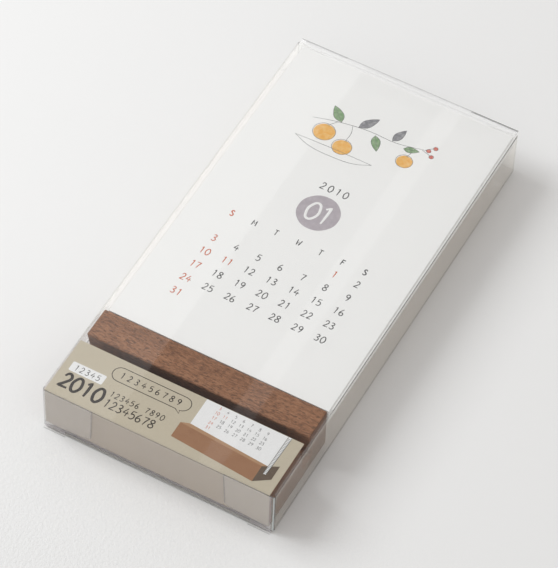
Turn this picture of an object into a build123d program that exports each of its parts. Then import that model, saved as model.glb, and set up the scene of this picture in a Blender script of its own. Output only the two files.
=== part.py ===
"""Desk calendar in its clear sales case: a slotted wooden stand, twelve month cards, a paper wrap and a
board riser, held in a folded clear case with a tuck-in closure at each end.

Millimetres, +Z up. The origin is on the floor under the middle of the case. X runs across the case, the
stand lies at the -Y end and the cards reach to the +Y end.
"""
import os
from math import radians, tan

from build123d import *

os.makedirs("parts", exist_ok=True)

# Sheet stock
sheet = 0.3
paper = 0.25

# Air between neighbouring layers
sheet_gap = 0.15
hinge_gap = 0.12
paper_gap = 0.15
top_air = 0.23
card_air = 0.13

# Month cards
card_count = 12
card_width = 88.0
card_length = 143.3
card_thickness = 0.52
card_shift = 0.4
card_jog = 0.1

# Wooden stand
stand_width = 89.0
stand_depth = 40.0
stand_height = 18.8
stand_shift = -0.4
stand_edge = 1.0
stand_end_edge = 0.5
front_lip = 12.9
slot_clearance = 0.35
slot_floor = 4.5
slot_lean = 12.0
slot_edge = 0.6

# Paper wrap round the stand
wrap_skew = -0.3
wrap_flap = 24.5
wrap_under = 26.5
wrap_bend = 0.5
wrap_air = 0.65

# Room that the contents leave in the case
side_room = 1.2
under_room = 1.37
stand_to_cards = 0.3
back_room = 0.85

# Clear case
crease_radius = 0.8
end_lip = 0.6
lap_width = 12.0
lap_margin = 1.6
closure_inset = 0.8
shoulder_width = 8.7
shoulder_round = 1.2
slit = 0.2
tuck_length = 8.0
tuck_bend = 1.2
tuck_air = 0.65
tuck_taper = 3.0
tuck_corner = 3.5
dust_width = 20.0
dust_taper = 0.7
dust_bend = 1.2
dust_corner = 2.6
dust_root_run = 3.2
dust_root_rise = 1.9
dust_rise = 3.4

# Board riser under the cards
riser_inset = 6.7
riser_bend = 1.4
riser_front_air = 2.7
riser_back_air = 1.9
tongue_length = 33.0

# The case is folded to fit what it holds
case_width = stand_width + 2 * (side_room + sheet)
case_height = 2 * sheet + under_room + 2 * paper + stand_height + top_air
end_layers = 2 * sheet + sheet_gap
stand_setback = end_layers + paper_gap + paper + wrap_air
case_length = stand_setback + stand_depth + stand_to_cards + card_length + back_room + end_layers

# Places across and along the case
half_width = case_width / 2
wall_middle = half_width - sheet / 2
closure_half = half_width - closure_inset
tuck_half = closure_half - shoulder_width
front = -case_length / 2
dust_face = front + sheet + sheet_gap
wall_end = dust_face + dust_bend
wrap_front = front + end_layers + paper_gap
stand_front = front + stand_setback
stand_back = stand_front + stand_depth
card_front = stand_back + stand_to_cards

# Heights
stand_top = case_height - sheet - top_air - paper
stand_bottom = stand_top - stand_height
tuck_middle = sheet + tuck_air + sheet / 2
card_top = case_height - tuck_middle - sheet / 2 - card_air
card_bottom = card_top - card_count * card_thickness

# Creases that the front closure turns about, as places in the Y and Z plane
closure_crease = (front + sheet / 2, case_height - sheet / 2)
tuck_crease = (front + sheet / 2, tuck_middle + tuck_bend)

# The back end of the case is the front end turned over about this line
turn_over = Axis((0, 0, case_height / 2), (1, 0, 0))


# Case sleeve: the four walls, with a top and a bottom panel that each stand past one closure
panel_lip = end_lip - front
panel_crease = closure_crease[0] + sheet / 2 + hinge_gap
panel_middle = (panel_lip + panel_crease) / 2
panel_length = panel_lip - panel_crease
panel_width = case_width - 2 * crease_radius
with BuildPart() as case_sleeve:
    with BuildSketch(Plane.XZ):
        with Locations((0, case_height / 2)):
            RectangleRounded(case_width, case_height, crease_radius)
            RectangleRounded(
                case_width - 2 * sheet,
                case_height - 2 * sheet,
                crease_radius - sheet,
                mode=Mode.SUBTRACT,
            )
    extrude(amount=-wall_end, both=True)
    with BuildSketch(Plane.XY):
        with Locations((0, -panel_middle)):
            Rectangle(panel_width, panel_length)
    extrude(amount=sheet)
    with BuildSketch(Plane.XY.offset(case_height - sheet)):
        with Locations((0, panel_middle)):
            Rectangle(panel_width, panel_length)
    extrude(amount=sheet)
case_sleeve.part.label = "case_sleeve"
export_step(case_sleeve.part, "parts/case_sleeve.step")


# Glue lap: the strip bonded inside the left wall, where the folded sheet closes on itself
with BuildPart() as glue_lap:
    with BuildSketch(Plane.YZ.offset(sheet - half_width)):
        with Locations((0, lap_margin + lap_width / 2)):
            lap_outline = Rectangle(-2 * (wall_end + lap_margin), lap_width)
        chamfer(lap_outline.vertices(), length=lap_margin)
    extrude(amount=sheet)
glue_lap.part.label = "glue_lap"
export_step(glue_lap.part, "parts/glue_lap.step")


# Front closure: hinged on the top panel, with a shoulder each side of its tuck
shoulder_foot = sheet + sheet_gap
shoulder_inner = tuck_half + slit
with BuildPart() as front_closure:
    with BuildSketch(Plane.XZ.offset(-front - sheet)) as closure_outline:
        with BuildLine():
            Polyline(
                (-closure_half, closure_crease[1]),
                (-closure_half, shoulder_foot),
                (-shoulder_inner, shoulder_foot),
                (-shoulder_inner, tuck_crease[1]),
                (shoulder_inner, tuck_crease[1]),
                (shoulder_inner, shoulder_foot),
                (closure_half, shoulder_foot),
                (closure_half, closure_crease[1]),
                close=True,
            )
        make_face()
        feet = closure_outline.vertices().group_by(Axis.Y)[0].sort_by(Axis.X)
        fillet([feet[0], feet[-1]], radius=shoulder_round)
    extrude(amount=sheet)
    with BuildSketch(Plane.YZ):
        with Locations(closure_crease):
            Circle(sheet / 2)
    extrude(amount=closure_half, both=True)
    with BuildSketch(Plane.YZ):
        with Locations(tuck_crease):
            Circle(sheet / 2)
    extrude(amount=tuck_half, both=True)
front_closure.part.label = "front_closure"
export_step(front_closure.part, "parts/front_closure.step")


# Front tuck flap: bends in over the bottom panel from the foot of the closure
tuck_end = tuck_crease[0] + tuck_length
with BuildPart() as front_tuck_flap:
    with BuildSketch(Plane.YZ) as tuck_profile:
        with BuildLine():
            bend = CenterArc((tuck_crease[0] + tuck_bend, tuck_crease[1]), tuck_bend, 180, 90)
            Line(bend @ 1, (tuck_end, tuck_middle))
        trace(line_width=sheet)
        with Locations(tuck_crease):
            Circle(sheet / 2 + hinge_gap, mode=Mode.SUBTRACT)
    extrude(amount=tuck_half, both=True)
    with BuildSketch(Plane.XY) as tuck_outline:
        with BuildLine():
            Polyline(
                (-tuck_half, front),
                (tuck_half, front),
                (tuck_half, front + tuck_bend),
                (tuck_half - tuck_taper, tuck_end),
                (-tuck_half + tuck_taper, tuck_end),
                (-tuck_half, front + tuck_bend),
                close=True,
            )
        make_face()
        fillet(tuck_outline.vertices().group_by(Axis.Y)[-1], radius=tuck_corner)
    extrude(amount=case_height, mode=Mode.INTERSECT)
front_tuck_flap.part.label = "front_tuck_flap"
export_step(front_tuck_flap.part, "parts/front_tuck_flap.step")


# Dust flap: folds in from the end of a side wall, behind the closure, clear of the tuck
flap_top = case_height - sheet - sheet_gap
with BuildPart() as front_left_dust_flap:
    with BuildSketch(Plane.XY):
        with BuildLine():
            fold = JernArc((-wall_middle, wall_end), (0, -1), dust_bend - sheet / 2, 90)
            Line(fold @ 1, (dust_width - half_width, dust_face + sheet / 2))
        trace(line_width=sheet)
    extrude(amount=case_height)
    with BuildSketch(Plane.XZ) as dust_outline:
        with BuildLine():
            Polyline(
                (-half_width, crease_radius),
                (dust_bend - half_width, crease_radius),
                (dust_bend + dust_root_run - half_width, dust_root_rise),
                (dust_width - dust_taper - half_width, dust_rise),
                (dust_width - half_width, flap_top),
                (dust_bend - half_width, flap_top),
                (-half_width, case_height - crease_radius),
                close=True,
            )
        make_face()
        fillet(dust_outline.vertices().sort_by_distance((dust_width - half_width, dust_rise))[0], dust_corner)
    extrude(amount=case_length, both=True, mode=Mode.INTERSECT)
front_left_dust_flap.part.label = "front_left_dust_flap"
export_step(front_left_dust_flap.part, "parts/front_left_dust_flap.step")

with BuildPart() as front_right_dust_flap:
    add(front_left_dust_flap.part.mirror(Plane.YZ))
front_right_dust_flap.part.label = "front_right_dust_flap"
export_step(front_right_dust_flap.part, "parts/front_right_dust_flap.step")


# Back end: the same four pieces turned over, so that closure is hinged at the bottom panel
with BuildPart() as back_closure:
    add(front_closure.part.rotate(turn_over, 180))
back_closure.part.label = "back_closure"
export_step(back_closure.part, "parts/back_closure.step")

with BuildPart() as back_tuck_flap:
    add(front_tuck_flap.part.rotate(turn_over, 180))
back_tuck_flap.part.label = "back_tuck_flap"
export_step(back_tuck_flap.part, "parts/back_tuck_flap.step")

with BuildPart() as back_left_dust_flap:
    add(front_left_dust_flap.part.rotate(turn_over, 180))
back_left_dust_flap.part.label = "back_left_dust_flap"
export_step(back_left_dust_flap.part, "parts/back_left_dust_flap.step")

with BuildPart() as back_right_dust_flap:
    add(front_right_dust_flap.part.rotate(turn_over, 180))
back_right_dust_flap.part.label = "back_right_dust_flap"
export_step(back_right_dust_flap.part, "parts/back_right_dust_flap.step")


# Wooden stand: a block with a level-floored slot that leans as it goes down, cut from end to end
slot_width = card_count * card_thickness + slot_clearance
slot_base = stand_bottom + slot_floor
slot_run = (stand_top - slot_base) * tan(radians(slot_lean))
slot_mouth = stand_back - front_lip
with BuildPart() as stand_block:
    with BuildSketch(Plane.YZ.offset(stand_shift)) as stand_section:
        with Locations(((stand_front + stand_back) / 2, (stand_bottom + stand_top) / 2)):
            RectangleRounded(stand_depth, stand_height, stand_edge)
        with BuildLine():
            Polyline(
                (slot_mouth, stand_top),
                (slot_mouth + slot_run, slot_base),
                (slot_mouth + slot_run - slot_width, slot_base),
                (slot_mouth - slot_width, stand_top),
                close=True,
            )
        make_face(mode=Mode.SUBTRACT)
        mouth = stand_section.vertices().group_by(Axis.Y)[-1].sort_by(Axis.X)
        fillet(mouth[1:3], radius=slot_edge)
    extrude(amount=stand_width / 2, both=True)
    stand_ends = stand_block.faces().filter_by(GeomType.PLANE).filter_by(Axis.X)
    fillet(stand_ends.edges(), radius=stand_end_edge)
stand_block.part.label = "stand_block"
export_step(stand_block.part, "parts/stand_block.step")


# Paper wrap: cut to the stand's width, over its top, down its end and back underneath
flap_height = stand_top + paper / 2
under_height = stand_bottom - paper / 2
with BuildPart() as paper_wrap:
    with BuildSketch(Plane.YZ.offset(stand_shift + wrap_skew)):
        with BuildLine():
            FilletPolyline(
                (wrap_front + wrap_flap, flap_height),
                (wrap_front + paper / 2, flap_height),
                (wrap_front + paper / 2, under_height),
                (wrap_front + wrap_under, under_height),
                radius=wrap_bend,
            )
        trace(line_width=paper)
    extrude(amount=stand_width / 2, both=True)
paper_wrap.part.label = "paper_wrap"
export_step(paper_wrap.part, "parts/paper_wrap.step")


# Month cards: a loosely squared stack, the first month on top
for month in range(card_count):
    jog_x = card_jog * ((2 * month + 1) % 3 - 1)
    jog_y = card_jog * ((month + 1) % 3 - 1)
    name = f"month_card_{month + 1:02d}"
    with BuildPart() as month_card:
        with BuildSketch(Plane.XY.offset(card_top - (month + 1) * card_thickness)):
            with Locations((card_shift + jog_x, card_front + card_length / 2 + jog_y)):
                Rectangle(card_width, card_length)
        extrude(amount=card_thickness)
    month_card.part.label = name
    export_step(month_card.part, f"parts/{name}.step")


# Board riser: one board folded to a flat tube under the cards, its tongue folded double under the stand
board = under_room / 2
riser_width = case_width - 2 * (sheet + riser_inset)
riser_height = card_bottom - sheet
riser_front = stand_back + riser_front_air
riser_back = -front - end_layers - riser_back_air
tongue_front = riser_front - tongue_length
with BuildPart() as card_riser:
    with BuildSketch(Plane.XZ.offset(-riser_back)):
        with Locations((0, sheet + riser_height / 2)):
            RectangleRounded(riser_width, riser_height, riser_bend)
            RectangleRounded(
                riser_width - 2 * board,
                riser_height - 2 * board,
                riser_bend - board,
                mode=Mode.SUBTRACT,
            )
    extrude(amount=riser_back - riser_front)
    with BuildSketch(Plane.YZ):
        with Locations(((tongue_front + board + stand_back) / 2, sheet + board)):
            Rectangle(stand_back - tongue_front - board, 2 * board)
        with Locations((tongue_front + board, sheet + board)):
            Circle(board)
        with Locations(((stand_back + riser_front) / 2, sheet + board / 2)):
            Rectangle(riser_front - stand_back + 2 * board, board)
    extrude(amount=riser_width / 2 - riser_bend, both=True)
card_riser.part.label = "card_riser"
export_step(card_riser.part, "parts/card_riser.step")
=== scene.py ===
"""Looks of the boxed desk calendar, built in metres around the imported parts.

The top month card and the paper wrap get their printing, each part gets its finish, and a pale studio
with a soft window light shows the whole.
"""

import logging
import math
import random
from dataclasses import dataclass, field
from enum import Enum
from functools import partialmethod, reduce
from operator import add, matmul
from typing import Any, Optional, Sequence, Union

import bpy
from mathutils import Matrix, Vector

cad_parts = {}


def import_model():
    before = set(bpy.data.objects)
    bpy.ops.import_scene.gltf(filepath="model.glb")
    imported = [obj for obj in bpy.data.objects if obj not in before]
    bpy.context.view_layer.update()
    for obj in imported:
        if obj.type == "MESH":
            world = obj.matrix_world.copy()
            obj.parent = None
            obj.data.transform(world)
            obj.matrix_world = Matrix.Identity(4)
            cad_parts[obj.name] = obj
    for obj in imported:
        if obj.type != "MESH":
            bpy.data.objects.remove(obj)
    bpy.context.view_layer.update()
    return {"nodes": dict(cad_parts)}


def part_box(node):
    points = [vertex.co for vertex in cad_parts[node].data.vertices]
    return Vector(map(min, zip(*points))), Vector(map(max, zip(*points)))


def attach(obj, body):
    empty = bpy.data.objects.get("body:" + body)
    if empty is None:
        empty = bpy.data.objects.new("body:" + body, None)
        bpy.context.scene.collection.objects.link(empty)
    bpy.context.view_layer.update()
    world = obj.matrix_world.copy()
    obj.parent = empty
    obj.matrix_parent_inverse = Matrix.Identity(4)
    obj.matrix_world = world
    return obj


MM = 0.001
BORDER = 0.1  # Half the width of the soft border of a mask, in millimetres
CORNER_POINTS = 5  # Points on each rounded corner, the lower right corner last
CASE = "case"
LOG = logging.getLogger("desk_calendar")

Colour = tuple[float, float, float]
Point = tuple[float, float]
Operand = Union["Signal", float]
Material = bpy.types.Material
Socket = bpy.types.NodeSocket
Piece = bpy.types.Object


class Slot(Enum):
    """Material slots of the record, one for each printed face."""

    CARD = "month_card"
    WRAP = "printed_wrap"


@dataclass(frozen=True)
class Signal:
    """One value that varies over a surface. Arithmetic on it adds Math nodes."""

    recipe: "Recipe"
    socket: Socket

    def combine(self, operation: str, other: Operand, swapped: bool = False) -> "Signal":
        """Adds one Math node.

        Args:
            operation: Blender's name of the operation.
            other: The other operand.
            swapped: True if the other operand comes first.

        Returns:
            The node's value.
        """
        operands = (other, self) if swapped else (self, other)
        node = self.recipe.node("ShaderNodeMath", dict(enumerate(operands)), operation=operation)
        return Signal(self.recipe, node.outputs[0])

    __add__ = __radd__ = partialmethod(combine, "ADD")
    __mul__ = __rmul__ = partialmethod(combine, "MULTIPLY")
    __sub__ = partialmethod(combine, "SUBTRACT")
    __rsub__ = partialmethod(combine, "SUBTRACT", swapped=True)
    __truediv__ = partialmethod(combine, "DIVIDE")
    __pow__ = partialmethod(combine, "POWER")
    __abs__ = partialmethod(combine, "ABSOLUTE", 0.0)

    def ramp(self, low: float, high: float) -> "Signal":
        """Stretches the value from 0 at low to 1 at high, smoothly and clamped.

        Args:
            low: Value that becomes 0.
            high: Value that becomes 1.

        Returns:
            The stretched value.
        """
        inputs = {"Value": self, "From Min": low, "From Max": high}
        node = self.recipe.node("ShaderNodeMapRange", inputs, interpolation_type="SMOOTHSTEP")
        return Signal(self.recipe, node.outputs["Result"])


class Recipe:
    """The node tree of one material or of the world."""

    def __init__(self, owner: bpy.types.ID, output: str = "ShaderNodeOutputMaterial") -> None:
        """Empties the owner's tree and gives it an output.

        Args:
            owner: The material or the world.
            output: Type of its output node.
        """
        owner.use_nodes = True
        self.owner = owner
        self.tree = owner.node_tree
        self.tree.nodes.clear()
        self.output = self.tree.nodes.new(output)

    @classmethod
    def material(cls, name: str) -> "Recipe":
        """Starts a material."""
        return cls(bpy.data.materials.new(name))

    def node(self, kind: str, inputs: Optional[dict[Any, Any]] = None, **settings: Any) -> bpy.types.Node:
        """Adds one node.

        Args:
            kind: The node's type.
            inputs: Values or links of its sockets, by name or number, with colours of three parts.
            settings: Its own settings, set first.

        Returns:
            The node.
        """
        made = self.tree.nodes.new(kind)
        for name, value in settings.items():
            setattr(made, name, value)
        for key, value in (inputs or {}).items():
            socket = made.inputs[key]
            if isinstance(value, Signal):
                self.tree.links.new(value.socket, socket)
            elif isinstance(value, Socket):
                self.tree.links.new(value, socket)
            else:
                socket.default_value = (*value, 1.0) if socket.type == "RGBA" else value
        return made

    def graded(self, value: Signal, stops: Sequence[tuple[float, Colour]]) -> Signal:
        """Turns a value into a colour.

        Args:
            value: The value.
            stops: Place and colour of each stop, the first and the last included.

        Returns:
            The colour.
        """
        made = self.node("ShaderNodeValToRGB", {0: value})
        elements = made.color_ramp.elements
        while len(elements) < len(stops):
            elements.new(0.5)
        for element, (place, colour) in zip(elements, stops):
            element.position = place
            element.color = (*colour, 1.0)
        return Signal(self, made.outputs[0])

    def place(self, scale: Sequence[float], shift: Sequence[float] = (0, 0, 0),
              turn: Sequence[float] = (0, 0, 0)) -> Signal:
        """Reads the object coordinates, stretched, turned and shifted.

        Args:
            scale: Factor along each axis.
            shift: Shift after the stretch.
            turn: Angles about the axes, in radians.

        Returns:
            The coordinates.
        """
        spot = self.node("ShaderNodeTexCoord").outputs["Object"]
        inputs = {"Vector": spot, "Scale": scale, "Location": shift, "Rotation": turn}
        return Signal(self, self.node("ShaderNodeMapping", inputs).outputs[0])

    def axes(self, vector: Operand) -> tuple[Signal, Signal, Signal]:
        """Returns the three parts of a vector."""
        parts = self.node("ShaderNodeSeparateXYZ", {0: vector})
        return tuple(Signal(self, parts.outputs[i]) for i in range(3))

    def normal(self) -> tuple[Signal, Signal, Signal]:
        """Returns the sizes of the three parts of the surface's own direction."""
        facing = self.node("ShaderNodeTexCoord").outputs["Normal"]
        return tuple(abs(part) for part in self.axes(Signal(self, facing)))

    def noise(self, scale: Union[float, Sequence[float]], octaves: float, rough: float,
              *where: Sequence[float]) -> Signal:
        """Adds a noise.

        Args:
            scale: Its fineness, one for all axes or one for each.
            octaves: Its number of octaves.
            rough: How strong the fine octaves are.
            where: Shift and turn of the coordinates that it reads.

        Returns:
            Its value.
        """
        fine = (scale,) * 3 if isinstance(scale, (int, float)) else scale
        spot = self.place(fine, *where)
        inputs = {"Vector": spot, "Scale": 1.0, "Detail": octaves, "Roughness": rough}
        return Signal(self, self.node("ShaderNodeTexNoise", inputs).outputs[0])

    def blend(self, share: Operand, first: Any, second: Any) -> Signal:
        """Returns two colours or links mixed, with a share of 1 for the second alone."""
        made = self.node("ShaderNodeMix", {0: share, 6: first, 7: second}, data_type="RGBA")
        return Signal(self, made.outputs[2])

    def bump(self, height: Signal, strength: float, reach: float) -> Socket:
        """Returns a normal from a height from 0 to 1, whose 1 is reach metres high."""
        inputs = {"Height": height, "Strength": strength, "Distance": reach}
        return self.node("ShaderNodeBump", inputs).outputs[0]

    def body(self, **inputs: Any) -> Socket:
        """Returns a Principled shader. Keywords name its sockets with _ for a space."""
        named = {key.replace("_", " "): value for key, value in inputs.items()}
        return self.node("ShaderNodeBsdfPrincipled", named).outputs[0]

    def layer(self, share: Operand, under: Socket, over: Socket) -> Socket:
        """Returns two shaders mixed, with a share of 1 for the second alone."""
        return self.node("ShaderNodeMixShader", {0: share, 1: under, 2: over}).outputs[0]

    def finish(self, shader: Socket) -> bpy.types.ID:
        """Links the shader to the output, and returns the material or the world."""
        self.tree.links.new(shader, self.output.inputs["Surface"])
        return self.owner

    def coat(self, **inputs: Any) -> Material:
        """Finishes with a Principled shader alone, and returns the material."""
        return self.finish(self.body(**inputs))


@dataclass(frozen=True)
class Walnut:
    """Oiled walnut with its grain along X: slow bands, fine fibres and short dark pores."""

    dark: Colour = (0.125, 0.050, 0.021)
    middle: Colour = (0.262, 0.116, 0.054)
    light: Colour = (0.380, 0.184, 0.093)
    pore: Colour = (0.055, 0.022, 0.012)

    def make(self) -> Material:
        """Builds the material.

        Returns:
            The material.
        """
        recipe = Recipe.material("walnut")
        lean = (0.0, 0.12, 0.07)
        bands = recipe.noise((16, 260, 260), 3.0, 0.55, (3.1, 0, 0), lean)
        fibres = recipe.noise((400, 1300, 1300), 3.0, 0.7, (0, 7.7, 0), lean)
        pores = recipe.noise((620, 2100, 2100), 1.0, 0.4, (5.0, 2.0, 1.0), lean)
        clouds = recipe.noise((45, 110, 110), 2.0, 0.5, (0, 0, 9.0))
        holes = pores.ramp(0.53, 0.66) * (0.5 + 0.5 * bands.ramp(0.3, 0.7))
        end_grain = recipe.normal()[0].ramp(0.5, 0.9)
        tone = bands * 0.22 + fibres * 0.72 + clouds * 0.16
        grain = recipe.graded(tone, [(0.37, self.dark), (0.53, self.middle), (0.72, self.light)])
        pored = recipe.blend(holes * 0.7, grain, self.pore)
        colour = recipe.blend(end_grain * 0.5, pored, self.pore)
        height = fibres * 0.3 + (1.0 - holes) * 0.7
        return recipe.coat(Base_Color=colour, Roughness=0.46 + fibres * 0.2, Specular_IOR_Level=0.35,
                           Normal=recipe.bump(height, 0.35, 0.00008))


@dataclass(frozen=True)
class CardStock:
    """Uncoated white card: faint tooth on the face and painted shade along the upper and lower rims of each
    edge, where the cards of the stack meet.
    """

    face: Colour = (0.875, 0.875, 0.865)
    shade: Colour = (0.58, 0.57, 0.55)

    def make(self, low: float, high: float) -> Material:
        """Builds the material.

        Args:
            low: Height of the card's underside, in metres.
            high: Height of its face, in metres.

        Returns:
            The material.
        """
        recipe = Recipe.material("card_stock")
        tooth = recipe.noise(2400, 3.0, 0.6)
        mottle = recipe.noise(60, 2.0, 0.5)
        height = recipe.axes(recipe.place((1, 1, 1)))[2]
        _, _, upright = recipe.normal()
        middle = (low + high) / 2
        # Painted shade along the upper and lower rims of each card's edge, where it meets the next card.
        gap_shade = abs((height - middle) / (high - low)).ramp(0.38, 0.50) * (1.0 - upright)
        paper = recipe.blend(mottle * 0.5 + tooth * 0.3, self.face, tuple(0.965 * c for c in self.face))
        return recipe.coat(Base_Color=recipe.blend(gap_shade * 0.6, paper, self.shade),
                           Roughness=0.72 + tooth * 0.15, Specular_IOR_Level=0.3,
                           Normal=recipe.bump(tooth, 0.12, 0.00003))


@dataclass(frozen=True)
class Paper:
    """Printed or plain paper and board with a little fibre in it."""

    name: str
    colour: Colour
    fleck: Colour

    def make(self) -> Material:
        """Builds the material.

        Returns:
            The material.
        """
        recipe = Recipe.material(self.name)
        fibre = recipe.noise(1500, 3.0, 0.65)
        cloud = recipe.noise(35, 2.0, 0.5, (2, 5, 1))
        tone = fibre.ramp(0.30, 0.75) * 0.6 + cloud * 0.4
        return recipe.coat(Base_Color=recipe.blend(tone, self.colour, self.fleck),
                           Roughness=0.7 + fibre * 0.12, Specular_IOR_Level=0.3,
                           Normal=recipe.bump(fibre, 0.15, 0.00003))


@dataclass(frozen=True)
class Ink:
    """Printed ink or wash: its colour thins out a little in soft patches, patch of them to a metre."""

    name: str
    colour: Colour
    thin: Colour
    patch: float = 900.0

    def make(self) -> Material:
        """Builds the material.

        Returns:
            The material.
        """
        recipe = Recipe.material(self.name)
        patches = recipe.noise(self.patch, 3.0, 0.7)
        return recipe.coat(Base_Color=recipe.blend(patches.ramp(0.35, 0.75), self.colour, self.thin),
                           Roughness=0.62 + patches * 0.2, Specular_IOR_Level=0.25)


@dataclass(frozen=True)
class Surface:
    """Where a point of the object lies, in millimetres, and how its surface faces, as sizes without sign."""

    place: dict[str, Signal]
    facing: dict[str, Signal]

    @classmethod
    def read(cls, recipe: Recipe) -> "Surface":
        """Returns the surface as a recipe's nodes read it."""
        place = dict(zip("xyz", recipe.axes(recipe.place((1 / MM,) * 3))))
        return cls(place, dict(zip("xyz", recipe.normal())))

    def past(self, axis: str, level: float, side: float = 1.0) -> Signal:
        """Returns 1 past a level in millimetres, up the axis or, with a side of -1, down the axis."""
        return (side * self.place[axis]).ramp(level - BORDER, level + BORDER)

    def within(self, half: float) -> Signal:
        """Returns 1 within a distance of the middle plane in millimetres, and 0 outside."""
        return 1.0 - abs(self.place["x"]).ramp(half - BORDER, half + BORDER)

    def across(self, first: str, second: str) -> Signal:
        """Returns 1 where a bend faces midway between two axes, and 0 where it faces either."""
        return 4.0 * self.facing[first] ** 2.0 * self.facing[second] ** 2.0


@dataclass(frozen=True)
class ClearSheet:
    """Thin clear plastic sheet: see-through and glossy, with painted shade on its cut edges.

    Attributes:
        name: What it is for.
        cut_axes: The axes that its cut edges face.
        strength: Factor of the painted highlights and shade along its bends and edges.
        gloss: Share that it mirrors where it is seen straight on.
        haze_share: Share of the milky haze.
        haze: Colour of the haze.
        rim_share: Share of the painted shade on the cut edges.
        rim: Tone of the painted shade on the cut edges.
        sheen: Tint of what it mirrors.
        warm_sheen: The same for the side walls.
    """

    name: str
    cut_axes: str
    strength: float = 1.0
    gloss: float = 0.028
    haze_share: float = 0.004
    haze: Colour = (0.86, 0.87, 0.87)
    rim_share: float = 0.45
    rim: Colour = (0.13, 0.13, 0.125)
    sheen: Colour = (1.0, 0.99, 0.985)
    warm_sheen: Colour = (1.0, 0.955, 0.88)

    def make(self) -> Material:
        """Builds the material.

        Returns:
            The material.
        """
        recipe = Recipe.material(f"clear_{self.name}")
        surface = Surface.read(recipe)
        weight = recipe.node("ShaderNodeLayerWeight", {"Blend": 0.5})
        grazing = Signal(recipe, weight.outputs["Facing"])
        shown = 1.0 - self.hidden(surface)
        mirrored = (self.gloss + (1.0 - self.gloss) * grazing ** 5.5) * shown
        wave = recipe.noise((18, 6, 18), 1.0, 0.4, (1, 4, 2))
        sway = recipe.bump(wave, 0.06, 0.0003)
        clear = recipe.node("ShaderNodeBsdfTransparent")
        sideways = surface.facing["x"].ramp(0.6, 0.9)
        mirror = recipe.body(Base_Color=recipe.blend(sideways, self.sheen, self.warm_sheen), Metallic=1.0,
                             Roughness=0.02, Normal=sway)
        dust = recipe.noise(700, 2.0, 0.6)
        pane = recipe.layer(mirrored, clear.outputs[0], mirror)
        # The cut edges get a painted dark tone as shade, layered in with the milky haze.
        cut = self.cut(surface).ramp(0.3, 0.9)
        share = (self.haze_share * (0.7 + 0.6 * dust) + cut * (self.rim_share * self.strength)) * shown
        haze_and_edge_shade = recipe.body(Base_Color=recipe.blend(cut, self.haze, self.rim), Roughness=0.4 + dust * 0.2)
        shader = recipe.layer(share, pane, haze_and_edge_shade)
        # Each veil paints a highlight or a shade line over the sheet.
        for mask, tone in self.veils(surface):
            shader = recipe.layer(mask * self.strength, shader, recipe.body(Base_Color=tone, Roughness=0.5))
        return recipe.finish(shader)

    def cut(self, surface: Surface) -> Signal:
        """Returns where the sheet shows a cut edge."""
        return reduce(add, (surface.facing[axis] ** 4.0 for axis in self.cut_axes))

    def hidden(self, surface: Surface) -> Operand:
        """Returns where the sheet leaves no trace at all, which is nowhere here."""
        return 0.0

    def veils(self, surface: Surface) -> list[tuple[Operand, Colour]]:
        """Returns the places where a bend or an edge gets a painted highlight or a painted shade line, each
        with its tone.
        """
        return []


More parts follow.
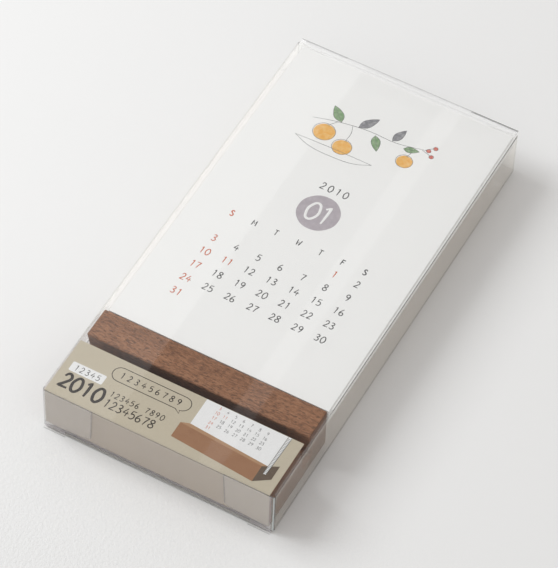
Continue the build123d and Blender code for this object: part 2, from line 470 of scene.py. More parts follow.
@dataclass(frozen=True)
class SleeveSheet(ClearSheet):
    """The sleeve's sheet, with painted highlights and painted shade lines along its folds, and painted dark
    lines at the lips of both ends.

    Attributes:
        ridge: Tone of the painted highlight along a fold.
        line: Tone of the painted shade line along a fold.
        lip: Tone of the painted dark lines at the lips.
        cards_front: Where the cards start, in millimetres, as in all that follow.
        half_height: A height between the lower and the upper folds.
        panel_foot: Underside of the top panel.
        lip_start: Where the front lip's line starts.
        lip_edge: Where the front lip stands out past the folds.
        lip_half: Half the width of its middle.
        tongue_edge: Where the back lip stands out.
        tongue_half: Half the width of its faint middle.
    """

    ridge: Colour = (0.93, 0.93, 0.92)
    line: Colour = (0.05, 0.05, 0.05)
    lip: Colour = (0.12, 0.12, 0.118)
    cards_front: float = -51.0
    half_height: float = 15.0
    panel_foot: float = 20.5
    lip_start: float = 92.9
    lip_edge: float = 93.55
    lip_half: float = 36.5
    tongue_edge: float = 93.6
    tongue_half: float = 26.0

    def cut(self, surface: Surface) -> Signal:
        """Returns the cut edges, faint where the walls end at the back."""
        faint = surface.past("y", 90.0) * (1.0 - surface.past("z", self.panel_foot))
        return surface.facing["y"] ** 4.0 * (1.0 - 0.75 * faint)

    def hidden(self, surface: Surface) -> Operand:
        """Returns the middle of the front lip, which lies flat on the table."""
        low = 1.0 - surface.past("z", 1.0)
        return surface.past("y", self.lip_edge, -1.0) * surface.within(self.lip_half) * low

    def veils(self, surface: Surface) -> list[tuple[Operand, Colour]]:
        """Finds the painted highlights and shade lines along the folds, and the painted dark lines at the
        lips.

        Args:
            surface: The surface.

        Returns:
            Their places, each with its tone.
        """
        level = surface.facing["z"].ramp(0.5, 0.8)
        high = surface.past("z", self.half_height)
        right = surface.past("x", 0.0)
        cards = surface.past("y", self.cards_front)
        turned = surface.facing["x"] ** 2.0
        # Painted highlight where an upper fold starts to turn, and a painted shade line where it turns down
        # to the wall.
        start = turned.ramp(0.005, 0.05) * (1.0 - turned.ramp(0.45, 0.60)) * high
        inner = turned.ramp(0.55, 0.68) * (1.0 - turned.ramp(0.90, 0.97)) * high
        # Painted highlight on the top of a side wall, below its fold.
        wall_top_highlight = turned.ramp(0.90, 0.98) * surface.place["z"].ramp(17.6, 21.0)
        # Painted dark lines along the front lip and the back lip.
        before = surface.past("y", self.lip_start, -1.0) * (1.0 - surface.past("y", self.lip_edge, -1.0))
        foot = before * (1.0 - high) * level * surface.within(self.lip_half)
        back_lip_shade = surface.past("y", self.tongue_edge) * high
        ends = 1.0 - surface.within(self.tongue_half)
        # Painted shade along the bottom folds.
        foot_fold_shade = turned.ramp(0.02, 0.10) * (1.0 - surface.past("z", 1.2))
        return [
            (foot_fold_shade * 0.13, self.line),
            (start * right * (0.08 + 0.87 * cards), self.ridge),
            (wall_top_highlight * (0.06 + right * (0.10 + 0.25 * cards)), self.ridge),
            (inner * (0.30 + right * 0.5 * cards), self.line),
            (foot * 0.12, self.lip),
            (back_lip_shade * (0.02 + ends * (0.13 + 0.22 * right)), self.lip),
        ]


@dataclass(frozen=True)
class DustSheet(ClearSheet):
    """A dust flap's sheet: a painted highlight with a painted shade border along its fold, and a thin painted
    dark line at its end.

    Attributes:
        ridge_share: Share of the painted highlight and of its painted shade border.
        ridge: Tone of the painted highlight.
        line: Tone of the painted shade border and of the painted dark line at the end.
        end_share: Share of the painted dark line at the end.
        end: Where the flap ends at the table's height, in millimetres from the middle plane.
        end_lean: How far the end leans towards the middle plane for each unit of height.
        fold: Where the fold lies between the flap and its wall, from the middle plane.
    """

    ridge_share: float = 0.45
    ridge: Colour = (0.74, 0.82, 0.84)
    line: Colour = (0.10, 0.10, 0.10)
    end_share: float = 0.14
    end: float = 26.84
    end_lean: float = 0.04
    fold: float = 44.3

    def cut(self, surface: Surface) -> Signal:
        """Returns the flap's upper, lower and inner edges."""
        inner = 1.0 - abs(surface.place["x"]).ramp(41.0, 42.0)
        return surface.facing["z"] ** 4.0 + surface.facing["x"] ** 4.0 * inner

    def veils(self, surface: Surface) -> list[tuple[Operand, Colour]]:
        """Finds the painted dark line at the end, the painted highlight along the fold and its painted shade
        border.

        Args:
            surface: The surface.

        Returns:
            Their places, each with its tone.
        """
        turned = surface.facing["x"] ** 2.0
        out = abs(surface.place["x"])
        # Painted shade border beside the painted highlight of the fold.
        border = turned.ramp(0.70, 0.80) * (1.0 - turned.ramp(0.90, 0.99))
        fold = out.ramp(self.fold - 0.3, self.fold + 0.3)
        inwards = self.end - out - self.end_lean * surface.place["z"]
        return [
            (inwards.ramp(-0.45, -0.25) * self.end_share, self.line),
            (surface.across("x", "y").ramp(0.6, 0.95) * fold * self.ridge_share, self.ridge),
            (border * fold * self.ridge_share, self.line),
        ]


@dataclass(frozen=True)
class TuckSheet(ClearSheet):
    """A tuck flap's sheet, whose bend is painted grey as shade, by the share bend_share."""

    bend_share: float = 0.2
    bend: Colour = (0.45, 0.45, 0.445)

    def veils(self, surface: Surface) -> list[tuple[Operand, Colour]]:
        """Returns the bend with its painted shade tone."""
        return [(surface.across("y", "z").ramp(0.1, 0.5) * self.bend_share, self.bend)]


@dataclass(frozen=True)
class PaleFloor:
    """Matt pale table top, which roughens towards the front and is painted darker there as shade.

    Attributes:
        colour: Its tone behind.
        near: Its tone in front, painted shade.
        turn: From where to where along the table the painted shade and the grit grow, in metres.
        relief: Height of its grit in front, in metres.
    """

    colour: Colour = (0.83, 0.83, 0.83)
    near: Colour = (0.755, 0.755, 0.757)
    turn: Point = (-0.34, -0.06)
    relief: float = 0.00084

    def make(self) -> Material:
        """Builds the material.

        Returns:
            The material.
        """
        recipe = Recipe.material("pale_table")
        grit = recipe.noise(840, 3.0, 0.65)
        # The front of the table is painted darker as shade, and its grit grows there.
        near = 1.0 - recipe.axes(recipe.place((1, 1, 1)))[1].ramp(*self.turn)
        return recipe.coat(Base_Color=recipe.blend(near, self.colour, self.near), Roughness=0.85,
                           Specular_IOR_Level=0.2,
                           Normal=recipe.bump(grit * (0.03 + near ** 0.6), 1.0, self.relief))


def select_only(piece: Piece) -> None:
    """Selects one piece alone.

    Args:
        piece: The piece.
    """
    bpy.ops.object.select_all(action="DESELECT")
    piece.select_set(True)
    bpy.context.view_layer.objects.active = piece


def freeze(piece: Piece) -> None:
    """Moves the piece's place, turn and scale into its mesh."""
    select_only(piece)
    bpy.ops.object.transform_apply(location=True, rotation=True, scale=True)


def to_mesh(piece: Piece) -> None:
    """Turns a curve into a closed mesh whose faces point outwards.

    Args:
        piece: The curve's object.
    """
    select_only(piece)
    bpy.ops.object.convert(target="MESH")
    bpy.ops.object.mode_set(mode="EDIT")
    bpy.ops.mesh.select_all(action="SELECT")
    bpy.ops.mesh.remove_doubles(threshold=1e-7)
    bpy.ops.mesh.normals_make_consistent(inside=False)
    bpy.ops.object.mode_set(mode="OBJECT")


def paint(piece: Piece, finish: Material) -> None:
    """Gives the piece one material."""
    piece.data.materials.clear()
    piece.data.materials.append(finish)


@dataclass(frozen=True)
class Stroke:
    """One pull of the pen.

    Attributes:
        points: Where it passes.
        corners: Which of the points are sharp.
        closed: True if its end meets its start.
    """

    points: tuple[Point, ...]
    corners: tuple[int, ...] = ()
    closed: bool = False

    @classmethod
    def read(cls, notes: str) -> "Stroke":
        """Reads a stroke.

        Args:
            notes: Its points as x,y with ! behind the sharp ones, and a last o if it is closed.

        Returns:
            The stroke.
        """
        marks = [mark for mark in notes.split() if mark != "o"]
        points = tuple(tuple(map(float, mark.rstrip("!").split(","))) for mark in marks)
        return cls(points, tuple(i for i, mark in enumerate(marks) if mark[-1] == "!"), notes[-1] == "o")

    def moved(self, x: float, y: float, turn: float, size: float = 1.0, slant: float = 0.0) -> "Stroke":
        """Moves the stroke to another place and size.

        Args:
            x: Shift to the right, after the rest.
            y: Shift upwards, after the rest.
            turn: Turn anticlockwise, in radians.
            size: Factor of its size.
            slant: Shift to the right for each unit of height.

        Returns:
            The moved stroke.
        """
        cos, sin = math.cos(turn), math.sin(turn)
        leaned = [(size * (px + slant * py), size * py) for px, py in self.points]
        return Stroke(
            tuple((x + cos * px - sin * py, y + sin * px + cos * py) for px, py in leaned),
            self.corners,
            self.closed,
        )


FIGURES: dict[str, tuple[Stroke, ...]] = {
    sign: tuple(Stroke.read(stroke.strip()) for stroke in strokes.split("/"))
    for sign, strokes in {
        "0": ".32,1 .08,.76 .05,.32 .26,0 .52,.22 .54,.7 o",
        "1": ".14,.84 .34,1! .33,.5 .3,0",
        "2": ".07,.76 .28,1 .5,.78 .32,.38 .03,.03! .58,.05",
        "3": ".08,.92 .32,1 .48,.78 .22,.56! .53,.32 .34,.02 .04,.1",
        "4": ".36,1 .03,.36! .64,.42 / .44,.66 .4,0",
        "5": ".14,.96 .11,.54! .36,.62 .54,.34 .36,.03 .05,.05 / .14,.96 .52,1",
        "6": ".38,1 .12,.62 .06,.24 .28,0 .52,.22 .34,.48 .09,.34",
        "7": ".03,.93 .55,.97! .34,.48 .24,0",
        "8": ".3,.54 .09,.78 .3,1 .5,.79 .28,.52 .05,.24 .28,0 .54,.24 o",
        "9": ".5,.74 .3,.5 .08,.72 .28,.99 .51,.8 .44,.36 .26,0",
        "S": ".52,.84 .3,1 .1,.78 .3,.54 .53,.28 .3,0 .05,.14",
        "M": ".04,0 .1,.98! .34,.34! .58,.98! .64,0",
        "T": ".04,.96 .6,.98 / .33,.97 .31,0",
        "W": ".02,1 .17,.02! .34,.7! .5,.02! .66,1",
        "F": ".54,.98 .12,.97! .11,0 / .12,.54 .46,.55",
    }.items()
}
FIGURE_WIDTH = 0.58
FIGURE_SLANT = 0.02
FIRST_COLUMN = 5  # Weekday of the month's first day, counted from Sunday
HOLIDAYS = (1, 11)


@dataclass
class Hand:
    """Writes figures with the small unevenness of a hand.

    Attributes:
        height: Height of a figure, in millimetres.
        advance: Step from figure to figure, in millimetres.
        wobble: Largest shift of a figure, in millimetres.
        seed: Start of the unevenness, so that each run writes alike.
    """

    height: float
    advance: float
    wobble: float = 0.06
    seed: int = 3
    chance: random.Random = field(init=False)

    def __post_init__(self) -> None:
        """Starts the unevenness."""
        self.chance = random.Random(self.seed)

    def write(self, text: str, x: float, y: float) -> list[Stroke]:
        """Writes a line of figures.

        Args:
            text: The figures.
            x: Middle of the line.
            y: Foot of the line.

        Returns:
            The strokes.
        """
        strokes: list[Stroke] = []
        start = x - (len(text) - 1) * self.advance / 2 - FIGURE_WIDTH * self.height / 2
        for place, sign in enumerate(text):
            if sign == " ":
                continue
            dx, dy = (self.chance.uniform(-self.wobble, self.wobble) for _ in range(2))
            left = start + place * self.advance + dx
            turn = self.chance.uniform(-0.03, 0.03)
            strokes += [part.moved(left, y + dy, turn, self.height, FIGURE_SLANT) for part in FIGURES[sign]]
        return strokes


@dataclass(frozen=True)
class Grid:
    """Where the days of the month stand, in millimetres.

    Attributes:
        left: Middle of the Sundays.
        top: Foot of the first week.
        across: Step from day to day.
        down: Step from week to week.
        lean: Drop from day to day.
    """

    left: float
    top: float
    across: float
    down: float
    lean: float = 0.0

    def write(self, hand: Hand, days: range) -> tuple[list[Stroke], list[Stroke]]:
        """Writes some days of the month.

        Args:
            hand: The hand.
            days: The days.

        Returns:
            The strokes of the working days and those of the days of rest.
        """
        plain: list[Stroke] = []
        rest: list[Stroke] = []
        for day in days:
            row, column = divmod(day - 1 + FIRST_COLUMN, 7)
            kind = rest if column == 0 or day in HOLIDAYS else plain
            x = self.left + column * self.across
            kind.extend(hand.write(str(day), x, self.top - row * self.down - column * self.lean))
        return plain, rest


@dataclass(frozen=True)
class Press:
    """Prints strokes and filled shapes on a part's top face, as very thin solid pieces.

    Attributes:
        left: Left end of the face, in millimetres.
        foot: Its lower end.
        height: Its height.
        slot: Not used.
        lift: Height of a first layer of ink, in millimetres.
        taper: Share of a line's width that is left at an open end.
    """

    left: float
    foot: float
    height: float
    slot: Slot
    lift: float = 0.012
    taper: float = 0.72

    @classmethod
    def on(cls, node: str, slot: Slot) -> "Press":
        """Returns a press for a part's top face."""
        low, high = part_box(node)
        return cls(low[0] / MM, low[1] / MM, high[2] / MM, slot)

    def settle(self, piece: Piece, finish: Material, rise: float = 0.0) -> None:
        """Lays a drawn piece on the face and ties it to the case.

        Args:
            piece: The piece, drawn about the origin.
            finish: Its material.
            rise: How far its middle is above the face, in millimetres.
        """
        piece.location = (self.left * MM, self.foot * MM, (self.height + rise) * MM)
        freeze(piece)
        paint(piece, finish)
        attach(piece, CASE)
        LOG.info("printed %s, %d faces", piece.name, len(piece.data.polygons))

    def draw(self, name: str, strokes: Sequence[Stroke], **settings: Any) -> Piece:
        """Draws strokes about the origin, as Bezier splines turned into one mesh.

        Args:
            name: The piece's name.
            strokes: The strokes, in millimetres.
            settings: The curve's settings, set first.

        Returns:
            The piece.
        """
        curve = bpy.data.curves.new(name, "CURVE")
        for setting, value in settings.items():
            setattr(curve, setting, value)
        for stroke in strokes:
            spline = curve.splines.new("BEZIER")
            spline.bezier_points.add(len(stroke.points) - 1)
            spline.use_cyclic_u = stroke.closed
            for index, (knot, (x, y)) in enumerate(zip(spline.bezier_points, stroke.points)):
                kind = "VECTOR" if index in stroke.corners else "AUTO"
                knot.handle_left_type = knot.handle_right_type = kind
                knot.co = (x * MM, y * MM, 0.0)
                if not stroke.closed and index in (0, len(stroke.points) - 1):
                    knot.radius = self.taper
        piece = bpy.data.objects.new(name, curve)
        bpy.context.collection.objects.link(piece)
        to_mesh(piece)
        return piece

    def lines(self, name: str, strokes: Sequence[Stroke], width: float, finish: Material, layer: int = 1
              ) -> None:
        """Prints lines.

        Args:
            name: The piece's name.
            strokes: The lines.
            width: Their width, in millimetres.
            finish: Their ink.
            layer: Which layer of ink they are in, counted from 1.
        """
        piece = self.draw(name, strokes, dimensions="3D", resolution_u=5, bevel_depth=width / 2 * MM,
                          bevel_resolution=1, use_fill_caps=True)
        piece.scale.z = self.lift * (layer + 0.6) / (width / 2)
        self.settle(piece, finish)

    def shapes(self, name: str, outlines: Sequence[Stroke], finish: Material, layer: int = 1) -> None:
        """Prints filled shapes.

        Args:
            name: The piece's name.
            outlines: Their closed outlines.
            finish: Their ink.
            layer: Which layer of ink they are in, counted from 1.
        """
        half = self.lift * layer / 2
        piece = self.draw(name, outlines, dimensions="2D", resolution_u=10, fill_mode="BOTH",
                          extrude=half * MM)
        self.settle(piece, finish, half)


def ring(x: float, y: float, across: float, up: Optional[float] = None) -> Stroke:
    """Draws a closed oval.

    Args:
        x: Its middle.
        y: Its middle.
        across: Its radius to the side.
        up: Its other radius, the same where it is left out.

    Returns:
        Its outline.
    """
    up = across if up is None else up
    angles = [i * math.tau / 8 for i in range(8)]
    return Stroke(tuple((x + across * math.cos(a), y + up * math.sin(a)) for a in angles), closed=True)


def leaf(x: float, y: float, length: float, width: float, turn: float) -> Stroke:
    """Draws a leaf with a sharp foot and tip.

    Args:
        x: Its foot.
        y: Its foot.
        length: From foot to tip.
        width: At its widest.
        turn: Direction of its tip, in radians.

    Returns:
        Its outline.
    """
    half = width / 2
    points = ((0, 0), (0.32 * length, half), (0.72 * length, 0.7 * half), (length, 0),
              (0.70 * length, -0.75 * half), (0.30 * length, -half))
    return Stroke(points, (0, 3), True).moved(x, y, turn)


def outline(points: Sequence[Point]) -> Stroke:
    """Returns a closed outline with straight sides."""
    return Stroke(tuple(points), tuple(range(len(points))), True)


def rounded(left: float, foot: float, right: float, top: float, radius: float) -> Stroke:
    """Draws a rectangle with rounded corners.

    Args:
        left: Its left side.
        foot: Its lower side.
        right: Its right side.
        top: Its upper side.
        radius: Radius of its corners.

    Returns:
        Its outline.
    """
    points: list[Point] = []
    middles = ((right - radius, top - radius), (left + radius, top - radius),
               (left + radius, foot + radius), (right - radius, foot + radius))
    for quarter, (cx, cy) in enumerate(middles):
        for step in range(CORNER_POINTS):
            angle = math.radians(90 * (quarter + step / (CORNER_POINTS - 1)))
            points.append((cx + radius * math.cos(angle), cy + radius * math.sin(angle)))
    return outline(points)


@dataclass
class MonthPrint:
    """The printing of the top month card, in millimetres from its lower left corner."""

    press: Press
    grey: Material
    red: Material
    grid: Grid = Grid(16.1, 52.4, 9.05, 6.9)
    heading_foot: float = 58.8
    weekdays: tuple[str, ...] = ("sun", "mon", "tue", "wed", "thu", "fri", "sat")
    disc_middle: Point = (43.0, 75.6)
    disc_radius: float = 8.1

    def dates(self) -> None:
        """Prints the dates and the initials of the weekdays."""
        plain, rest = self.grid.write(Hand(2.9, 2.25), range(1, 32))
        self.press.lines("dates", plain, 0.4, self.grey)
        self.press.lines("rest_days", rest, 0.4, self.red)
        small = Hand(2.5, 2.0, seed=5)
        for column, name in enumerate(self.weekdays):
            x = self.grid.left + column * self.grid.across
            initial = small.write(name[0].upper(), x, self.heading_foot)
            self.press.lines(f"initial_{name}", initial, 0.5, self.grey if column else self.red)

    def month(self, wash: Material, white: Material) -> None:
        """Prints the month's disc with its figure, and the year above it.

        Args:
            wash: The disc's colour.
            white: The figure's colour.
        """
        x, y = self.disc_middle
        self.press.shapes("month_disc", [ring(x, y, self.disc_radius)], wash)
        figure = Hand(8.2, 5.2, 0.0, 2).write("01", x + 0.3, y - 4.1)
        self.press.lines("month_figure", figure, 1.35, white, 2)
        year = Hand(3.1, 3.1, 0.08, 9).write("2010", x + 0.1, y + 10.6)
        self.press.lines("year_figures", year, 0.42, self.grey)


@dataclass
class SprigPrint:
    """A sprig of mandarins and berries over the month, in thin grey outlines and loose washes.

    Attributes:
        fruits: Middle and radius of each mandarin.
        leaves: Foot, length, width and direction of each leaf.
        berries: Middle of each berry.
        pulls: The twig, its stems and the dish.
    """

    press: Press
    pencil: Material
    orange: Material
    green: Material
    dusk: Material
    red: Material
    fruits: tuple[tuple[float, float, float], ...] = (
        (26.5, 110.5, 4.3),
        (35.6, 107.2, 3.8),
        (58.6, 112.6, 3.2),
    )
    leaves: tuple[tuple[float, float, float, float, float], ...] = (
        (30.0, 117.6, 8.4, 3.6, 2.35),
        (36.6, 118.6, 8.8, 3.4, 0.95),
        (43.8, 118.2, 7.6, 3.2, -1.05),
        (50.4, 119.0, 7.4, 3.0, 1.25),
        (55.6, 117.8, 6.0, 2.6, 0.25),
    )
    berries: tuple[Point, ...] = ((64.2, 121.4), (66.3, 119.3), (66.0, 123.6))
    pulls: tuple[str, ...] = (
        "19.5,114.6 29,117.2 41,118.9 52,118.8 63.4,121.2",
        "29,117.2 27.6,115.6 26.7,114.4",
        "34.4,118.2 35.6,114.6 35.5,110.7",
        "57,119.3 58.9,117.4 58.6,115.5",
        "62,120.6 64.6,119.9 66.3,119.3",
        "62.8,121 64.6,122.8 66,123.6",
        "17.8,104.4 24.4,101.9 34,101.2 43.6,102.3 49.2,104.9",
        "17.8,104.4 33.6,104.9 49.2,104.9",
    )

    def draw(self) -> None:
        """Prints the sprig."""
        rings = [ring(x, y, r, r * 0.94) for x, y, r in self.fruits]
        blades = [leaf(*values) for values in self.leaves]
        veins = [
            Stroke(((0.1 * size, 0.0), (0.5 * size, 0.12), (0.86 * size, 0.0))).moved(x, y, turn)
            for x, y, size, _, turn in self.leaves
        ]
        dots = [ring(x, y, 0.85) for x, y in self.berries]
        washes = [ring(x + 0.2, y - 0.2, r * 0.96, r * 0.9) for x, y, r in self.fruits]
        self.press.shapes("fruit_wash", washes, self.orange)
        self.press.shapes("leaf_wash", blades[::2], self.green)
        self.press.shapes("dusk_wash", blades[1::2], self.dusk)
        self.press.shapes("berry_wash", dots, self.red)
        stars = [
            Stroke(((x - 0.5, y + r * 0.72), (x, y + r * 0.86), (x + 0.5, y + r * 0.7)))
            for x, y, r in self.fruits
        ]
        drawn = [*map(Stroke.read, self.pulls), *rings, *blades, *veins, *dots, *stars]
        self.press.lines("sprig_outline", drawn, 0.2, self.pencil, 2)


@dataclass
class WrapPrint:
    """The printing of the paper wrap's top, in millimetres from its lower left corner.

    Attributes:
        edge: Where the wrap's flap ends.
        grid: Where the days stand on the picture's card.
        rungs: Number of card edges in the picture's stack.
    """

    press: Press
    black: Material
    white: Material
    edge: float = 24.4
    grid: Grid = Grid(56.9, 24.77, 3.23, 2.27, 0.19)
    rungs: int = 26

    def words(self) -> None:
        """Prints the tag, the figures and the balloon."""
        self.press.shapes("wrap_tag", [rounded(2.7, 11.35, 16.1, 15.5, 0.5)], self.white)
        foot = 15.5
        body = rounded(16.7, foot, 47.7, foot + 6.0, 2.99).points
        tip = ((43.3, foot), (45.3, foot - 1.35), (45.0, foot))
        balloon = outline((*body[:-CORNER_POINTS], *tip, *body[-CORNER_POINTS:]))
        for name, strokes, width, layer in (
            ("tag_figures", Hand(2.4, 2.15, 0.03, 4).write("12345", 9.4, 12.2), 0.34, 2),
            ("year", Hand(6.2, 4.3, 0.0, 4).write("2010", 10.9, 3.95), 1.12, 1),
            ("months", Hand(2.3, 2.0, 0.03, 6).write("123456 7890", 31.4, 8.7), 0.32, 1),
            ("days", Hand(3.5, 2.55, 0.0, 8).write("12345678", 30.6, 3.9), 0.44, 1),
            ("balloon", [balloon], 0.30, 1),
            ("balloon_figures", Hand(2.5, 2.8, 0.03, 7).write("123456789", 31.9, 17.2), 0.36, 1),
        ):
            self.press.lines(f"wrap_{name}", strokes, width, self.black, layer)

    def picture(self, browns: Sequence[Material], grey: Material, red: Material) -> None:
        """Prints a plain picture of a stand that holds its cards.

        Args:
            browns: The stand's front, end and top.
            grey: The dates.
            red: The dates of rest days.
        """
        edge = self.edge
        front, end, top = browns
        for name, points, finish, layer in (
            ("card", ((50.9, 12.6), (50.9, edge), (82.9, edge), (82.7, 10.2)), self.white, 1),
            ("stand_front", ((47.7, 4.7), (47.7, 11.4), (80.9, 9.2), (80.9, 2.1)), front, 2),
            ("stand_end", ((80.9, 2.1), (80.9, 9.2), (86.4, 12.1), (86.4, 5.9)), end, 2),
            ("stand_top", ((47.7, 11.4), (50.7, 12.5), (82.9, 10.1), (80.9, 9.2)), top, 2),
            ("stack", ((82.7, 6.7), (82.95, edge), (84.5, edge), (83.8, 6.8)), self.white, 3),
        ):
            self.press.shapes(f"picture_{name}", [outline(points)], finish, layer)
        rims = [Stroke(((82.8, 6.9), (83.05, edge - 0.1))), Stroke(((83.75, 7.0), (84.4, edge - 0.1)))]
        self.press.lines("picture_stack_sides", rims, 0.26, grey, 10)
        rises = [i / self.rungs for i in range(self.rungs)]
        rungs = [Stroke(((82.8 + 0.2 * r, 7.2 + 17.0 * r), (83.75 + 0.6 * r, 7.3 + 17.0 * r))) for r in rises]
        self.press.lines("picture_stack_edges", rungs, 0.3, grey, 9)
        plain, rest = self.grid.write(Hand(1.25, 0.95, 0.04, 12), range(3, 32))
        self.press.lines("picture_dates", plain, 0.2, grey, 2)
        self.press.lines("picture_rest_days", rest, 0.2, red, 2)


@dataclass
class Studio:
    """The pale table, the soft window light and the camera, in metres, degrees and watts.

    Attributes:
        place: Where the camera is.
        azimuth: How far it looks round from the front.
        elevation: How far it looks down.
        roll: Its turn about its own axis.
        lens: Its focal length, in millimetres.
    """

    place: tuple[float, float, float] = (0.3439, -0.6851, 0.9997)
    azimuth: float = 26.855
    elevation: float = 52.364
    roll: float = 2.485
    lens: float = 220.89
    lamp_place: tuple[float, float, float] = (-0.8, -0.12, 0.8)
    lamp_size: float = 0.65
    lamp_power: float = 7.6

    def floor(self) -> None:
        """Lays the table."""
        bpy.ops.mesh.primitive_plane_add(size=8.0, location=(0, 0, -0.05 * MM))
        table = bpy.context.object
        table.name = "table"
        freeze(table)
        paint(table, PaleFloor().make())
        LOG.info("staged %s", table.name)

    def camera(self) -> None:
        """Sets the camera at the view's place, turned and rolled as measured."""
        data = bpy.data.cameras.new("view")
        data.lens = self.lens
        data.sensor_width = 36.0
        data.clip_start = 0.01
        eye = bpy.data.objects.new("view", data)
        bpy.context.collection.objects.link(eye)
        turns = ((self.azimuth, "Z"), (90.0 - self.elevation, "X"), (self.roll, "Z"))
        steps = (Matrix.Rotation(math.radians(angle), 4, axis) for angle, axis in turns)
        eye.matrix_world = reduce(matmul, steps, Matrix.Translation(self.place))
        bpy.context.scene.camera = eye

    def window(self) -> None:
        """Hangs the window, a soft square lamp that looks at the object."""
        data = bpy.data.lights.new("window", "AREA")
        data.size = self.lamp_size
        data.energy = self.lamp_power
        data.color = (0.96, 0.985, 1.0)
        lamp = bpy.data.objects.new("window", data)
        bpy.context.collection.objects.link(lamp)
        lamp.location = self.lamp_place
        lamp.rotation_euler = (-Vector(self.lamp_place)).to_track_quat("-Z", "Y").to_euler()

    def pane(self, name: str, corner: Point, far: Point, height: float, glow: float) -> None:
        """Hangs a pale pane where the case's top mirrors it to the camera, and where only a mirror sees it.

        Args:
            name: The pane's name.
            corner: One corner of the patch of the case's top that mirrors it, in millimetres.
            far: The patch's far corner.
            height: How high it hangs, in metres.
            glow: How bright it is.
        """
        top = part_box("case_sleeve")[1][2]
        reach = (height - top) / (self.place[2] - top)
        low, high = (
            [at * MM * (1 + reach) - reach * eye for at, eye in zip(point, self.place)]
            for point in (corner, far)
        )
        middle = ((low[0] + high[0]) / 2, (low[1] + high[1]) / 2, height)
        bpy.ops.mesh.primitive_plane_add(size=1.0, location=middle)
        pane = bpy.context.object
        pane.name = name
        pane.scale = (high[0] - low[0], high[1] - low[1], 1.0)
        freeze(pane)
        glowing = Recipe.material(name).coat(Base_Color=(0, 0, 0), Emission_Strength=glow,
                                             Emission_Color=(0.985, 0.992, 1.0))
        paint(pane, glowing)
        pane.visible_camera = pane.visible_diffuse = pane.visible_shadow = pane.visible_transmission = False
        LOG.info("staged %s", name)

    def sky(self) -> None:
        """Gives the room its even light and the pale background."""
        world = bpy.context.scene.world = bpy.data.worlds.new("room")
        recipe = Recipe(world, "ShaderNodeOutputWorld")
        rays = recipe.node("ShaderNodeLightPath").outputs
        room, mirrored, seen = (
            recipe.node("ShaderNodeBackground", {"Color": colour, "Strength": strength}).outputs[0]
            for colour, strength in (((1, 0.978, 0.955), 0.64), ((1, 1, 1), 0.3), ((0.86, 0.86, 0.865), 1.0))
        )
        unseen = recipe.layer(Signal(recipe, rays["Is Glossy Ray"]), room, mirrored)
        recipe.finish(recipe.layer(Signal(recipe, rays["Is Camera Ray"]), unseen, seen))

    def build(self) -> None:
        """Sets the whole studio, with light paths long enough for the many layers of clear sheet."""
        self.floor()
        self.window()
        self.pane("pane_left", (-80.0, -240.0), (-18.0, 200.0), 1.0, 0.96)
        self.pane("pane_right", (16.0, -240.0), (24.0, 200.0), 1.0, 0.76)
        self.pane("pane_edge", (-45.7, -51.0), (-43.3, 95.0), 0.35, 3.2)
        self.pane("pane_back", (-43.3, 91.0), (45.0, 93.0), 0.35, 2.0)
        self.sky()
        self.camera()
        scene = bpy.context.scene
        scene.cycles.max_bounces = 24
        scene.cycles.diffuse_bounces = 8
        scene.cycles.glossy_bounces = 8
        scene.cycles.transparent_max_bounces = 64
        scene.view_settings.view_transform = "Standard"


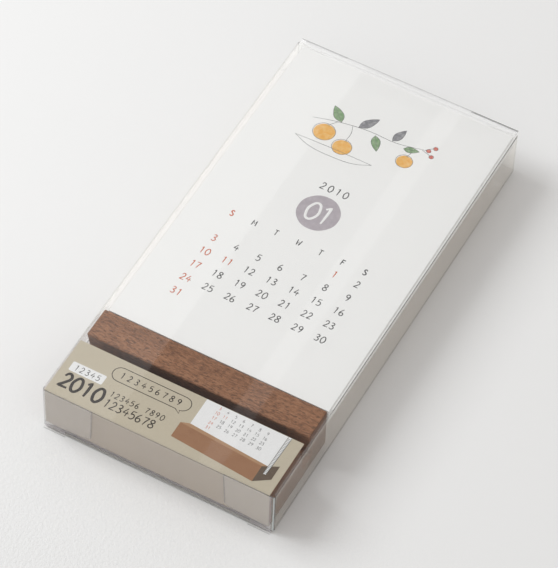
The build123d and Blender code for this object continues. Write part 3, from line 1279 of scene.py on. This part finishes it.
@dataclass
class BoxedCalendar:
    """The calendar's parts with their finishes and printing."""

    nodes: dict[str, Piece]

    def dress(self, node: str, finish: Material) -> None:
        """Gives one part its finish.

        Args:
            node: The part's name.
            finish: The material.
        """
        for slot in self.nodes[node].material_slots:
            slot.material = finish
        LOG.info("dressed %s", node)

    def sheet_parts(self) -> None:
        """Finishes every part of the clear case."""
        self.dress("case_sleeve", SleeveSheet("sleeve", "y").make())
        self.dress("glue_lap", ClearSheet("lap", "yz", haze_share=0.02).make())
        for end, strength, end_at, lean in (("front", 1.0, 26.84, 0.04), ("back", 0.2, 25.98, -0.04)):
            closure = ClearSheet(f"{end}_closure", "xz", strength, haze_share=0.03 * strength,
                                 haze=(0.74, 0.58, 0.97), rim_share=0.4, rim=(0.2, 0.2, 0.195))
            tuck = TuckSheet(f"{end}_tuck", "x", strength, gloss=0.006, haze_share=0.0, rim_share=0.15)
            dust = DustSheet(f"{end}_dust", "xz", strength, haze_share=0.09, haze=(0.92, 0.93, 0.84),
                             rim_share=0.3, end=end_at, end_lean=lean)
            self.dress(f"{end}_closure", closure.make())
            self.dress(f"{end}_tuck_flap", tuck.make())
            flap = dust.make()
            for side in ("left", "right"):
                self.dress(f"{end}_{side}_dust_flap", flap)

    def contents(self) -> None:
        """Finishes the stand, the wrap, the riser and the cards."""
        self.dress("stand_block", Walnut().make())
        self.dress("paper_wrap", Paper("wrap_paper", (0.53, 0.475, 0.37), (0.49, 0.435, 0.335)).make())
        self.dress("card_riser", Paper("riser_board", (0.68, 0.61, 0.54), (0.625, 0.56, 0.495)).make())
        for node in self.nodes:
            if node.startswith("month_card_"):
                low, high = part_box(node)
                self.dress(node, CardStock().make(low[2], high[2]))

    def printing(self) -> None:
        """Prints the top card and the wrap."""
        grey = Ink("grey_ink", (0.082, 0.083, 0.083), (0.16, 0.16, 0.161)).make()
        red = Ink("red_ink", (0.58, 0.115, 0.042), (0.62, 0.17, 0.080)).make()
        page = Press.on("month_card_01", Slot.CARD)
        month = MonthPrint(page, grey, red)
        month.dates()
        month.month(
            Ink("mauve_wash", (0.425, 0.385, 0.415), (0.485, 0.445, 0.475), 500.0).make(),
            Ink("card_white", (0.86, 0.86, 0.85), (0.83, 0.83, 0.82)).make(),
        )
        SprigPrint(
            page,
            Ink("pencil_grey", (0.11, 0.11, 0.115), (0.26, 0.26, 0.265), 1800.0).make(),
            Ink("orange_wash", (0.80, 0.42, 0.10), (0.84, 0.56, 0.24), 700.0).make(),
            Ink("green_wash", (0.20, 0.33, 0.17), (0.40, 0.50, 0.34), 700.0).make(),
            Ink("dusk_wash", (0.22, 0.22, 0.235), (0.42, 0.42, 0.43), 700.0).make(),
            Ink("berry_wash", (0.60, 0.12, 0.09), (0.70, 0.28, 0.22), 900.0).make(),
        ).draw()
        wrap = WrapPrint(
            Press.on("paper_wrap", Slot.WRAP),
            Ink("black_ink", (0.028, 0.021, 0.017), (0.045, 0.036, 0.030)).make(),
            Ink("white_print", (0.80, 0.80, 0.80), (0.77, 0.77, 0.77)).make(),
        )
        wrap.words()
        browns = (
            Ink("picture_brown", (0.325, 0.168, 0.088), (0.30, 0.15, 0.078), 300.0).make(),
            Ink("picture_dark", (0.13, 0.092, 0.065), (0.115, 0.082, 0.058)).make(),
            Ink("picture_top_brown", (0.42, 0.25, 0.14), (0.385, 0.225, 0.125)).make(),
        )
        wrap.picture(browns, grey, red)


def main() -> None:
    """Loads the parts, dresses and prints them, and sets the studio."""
    logging.basicConfig(level=logging.INFO, format="%(message)s")
    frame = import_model()
    calendar = BoxedCalendar(frame["nodes"])
    calendar.sheet_parts()
    calendar.contents()
    calendar.printing()
    Studio().build()


if __name__ == "__main__":
    main()
